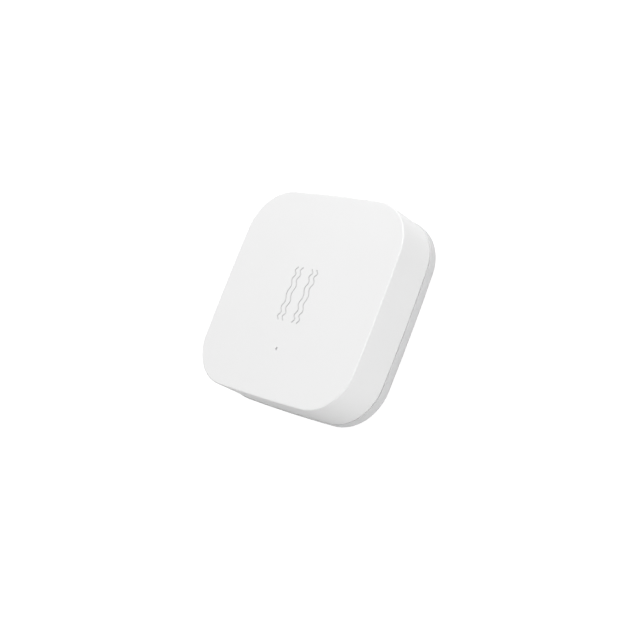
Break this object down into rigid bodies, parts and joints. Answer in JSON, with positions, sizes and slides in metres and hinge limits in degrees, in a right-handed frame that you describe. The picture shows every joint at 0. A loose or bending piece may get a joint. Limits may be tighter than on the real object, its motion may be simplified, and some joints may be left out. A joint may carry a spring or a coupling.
{
  "type": "vibration sensor tag",
  "caption": "Flat rounded-square stick-on vibration sensor: white front shell with engraved waves and an indicator hole, grey base with adhesive pad, coin cell, board and side pairing button.",
  "frame": {"origin": "middle of the back, on the face of the release liner", "axes": "+Z out of the front face, +Y towards the pairing button and away from the indicator hole, +X to the right seen from the front"},
  "size_m": [0.05, 0.05, 0.0149],
  "materials": {
    "shell_plastic": "fine satin moulded ABS",
    "base_plastic": "satin moulded ABS, light grey",
    "foam_tape": "closed-cell acrylic foam",
    "liner_paper": "coated release paper",
    "soft_foam": "open-cell foam",
    "clear_plastic": "polished clear polycarbonate",
    "board_laminate": "solder mask over glass-epoxy laminate",
    "zinc_steel": "zinc-plated steel",
    "holder_plastic": "glass-filled nylon, black",
    "nickel_spring": "nickel-plated spring steel",
    "chip_resin": "moulded epoxy resin",
    "nickel_can": "nickel-plated can",
    "ferrite": "sintered ferrite",
    "ceramic": "fired ceramic",
    "resistor_glaze": "glazed resistor body",
    "led_resin": "translucent resin",
    "gold_copper": "gold flash over copper",
    "switch_plastic": "black nylon",
    "switch_plunger_plastic": "white nylon",
    "cell_steel": "nickel-plated stainless steel",
    "gasket_plastic": "polypropylene",
    "cell_filling": "pressed electrode material"
  },
  "bodies": {
    "base": {"base_plate": "base_plastic", "adhesive_pad": "foam_tape", "release_liner": "liner_paper", "cell_cushion": "soft_foam"},
    "housing": {"front_shell": "shell_plastic", "light_guide": "clear_plastic", "circuit_board": "board_laminate", "board_screws": "zinc_steel", "battery_holder": "holder_plastic", "positive_contact": "nickel_spring", "negative_contact": "nickel_spring", "radio_chip": "chip_resin", "radio_crystal": "nickel_can", "clock_crystal": "nickel_can", "motion_sensor": "chip_resin", "power_inductor": "ferrite", "ceramic_capacitors": "ceramic", "chip_resistors": "resistor_glaze", "status_led": "led_resin", "antenna_trace": "gold_copper", "test_pads": "gold_copper", "switch_body": "switch_plastic", "switch_cover": "nickel_can", "snap_dome": "nickel_spring"},
    "coin_cell": {"cell_can": "cell_steel", "cell_cap": "cell_steel", "cell_gasket": "gasket_plastic", "cell_core": "cell_filling"},
    "button": {"pairing_button": "shell_plastic"},
    "plunger": {"switch_plunger": "switch_plunger_plastic"}
  },
  "joints": [
    {"name": "housing_lift", "type": "slide", "parent": "base", "child": "housing", "axis": [0, 0, 1], "range_m": [0, 0.03]},
    {"name": "cell_release", "type": "slide", "parent": "housing", "child": "coin_cell", "axis": [0, 0, -1], "range_m": [0, 0.015]},
    {"name": "button_press", "type": "slide", "parent": "housing", "child": "button", "axis": [0, -1, 0], "range_m": [0, 0.00025], "stiffness_N_per_m": 4000, "springref_m": -0.0002},
    {"name": "plunger_press", "type": "slide", "parent": "housing", "child": "plunger", "axis": [0, -1, 0], "range_m": [0, 0.00025]}
  ],
  "couplings": [
    {"joint": "cell_release", "follows": "housing_lift", "ratio": 0.5},
    {"joint": "plunger_press", "follows": "button_press", "ratio": 1}
  ]
}
